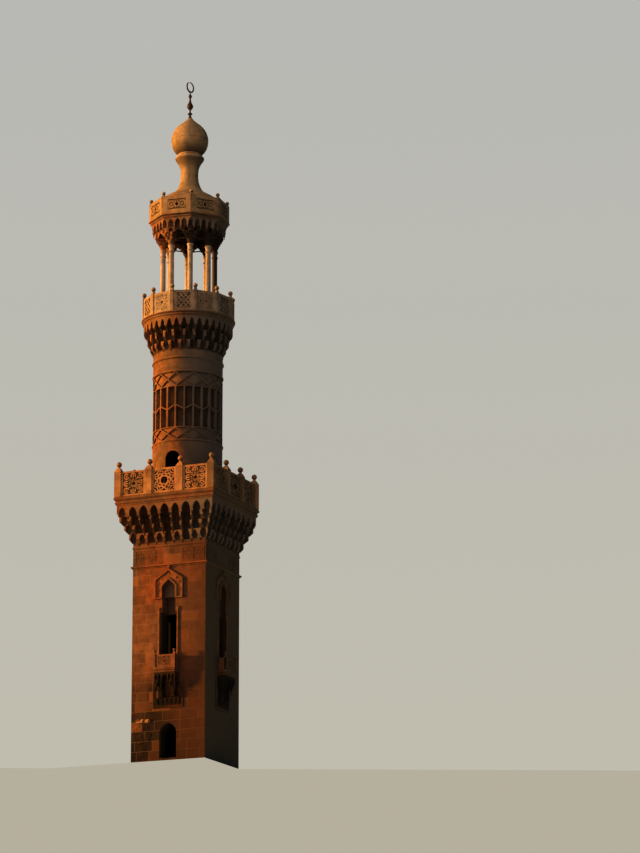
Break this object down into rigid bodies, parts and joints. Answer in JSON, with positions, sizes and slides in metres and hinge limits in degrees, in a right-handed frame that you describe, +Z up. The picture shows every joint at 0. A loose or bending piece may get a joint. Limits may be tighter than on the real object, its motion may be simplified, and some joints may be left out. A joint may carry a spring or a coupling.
{
  "type": "stone minaret",
  "caption": "Tall hollow stone tower with a square shaft, a round storey, an open columned pavilion, corbelled balconies and a bulb top.",
  "frame": {"origin": "middle of the square base, at the level of the doorway's foot", "axes": "+Z up; the base doorway faces -Y"},
  "size_m": [5.52, 5.52, 35.8126],
  "materials": {
    "shaft_limestone": "weathered ashlar, redder and dusty",
    "dressed_limestone": "smooth dressed, weathered",
    "carved_limestone": "carved, weathered",
    "floor_limestone": "worn flags",
    "bronze": "dark, oxidised",
    "tie_timber": "bare, weathered"
  },
  "bodies": {
    "root": {"front_wall": "shaft_limestone", "right_wall": "shaft_limestone", "back_wall": "shaft_limestone", "left_wall": "shaft_limestone", "base_floor": "floor_limestone", "window_floor": "floor_limestone", "front_window_balcony": "dressed_limestone", "right_window_balcony": "dressed_limestone", "back_window_balcony": "dressed_limestone", "left_window_balcony": "dressed_limestone", "front_window_hood": "dressed_limestone", "right_window_hood": "dressed_limestone", "back_window_hood": "dressed_limestone", "left_window_hood": "dressed_limestone", "string_course": "dressed_limestone", "frieze": "dressed_limestone", "corbel_tier_1": "carved_limestone", "corbel_tier_2": "carved_limestone", "corbel_tier_3": "carved_limestone", "corbel_tier_4": "carved_limestone", "main_balcony_floor": "dressed_limestone", "main_parapet_front": "carved_limestone", "main_parapet_right": "carved_limestone", "main_parapet_back": "carved_limestone", "main_parapet_left": "carved_limestone", "drum_door_wall": "dressed_limestone", "drum_relief": "carved_limestone", "drum_neck": "dressed_limestone", "upper_corbel_tier_1": "carved_limestone", "upper_corbel_tier_2": "carved_limestone", "upper_corbel_tier_3": "carved_limestone", "upper_balcony_floor": "dressed_limestone", "upper_parapet": "carved_limestone", "column_1": "dressed_limestone", "column_2": "dressed_limestone", "column_3": "dressed_limestone", "column_4": "dressed_limestone", "column_5": "dressed_limestone", "column_6": "dressed_limestone", "column_7": "dressed_limestone", "column_8": "dressed_limestone", "tie_ring": "tie_timber", "arcade": "carved_limestone", "crown_corbel_tier": "carved_limestone", "crown_floor": "dressed_limestone", "crown_parapet": "carved_limestone", "bulb_neck": "dressed_limestone", "bulb": "dressed_limestone", "finial": "bronze"}
  },
  "joints": []
}
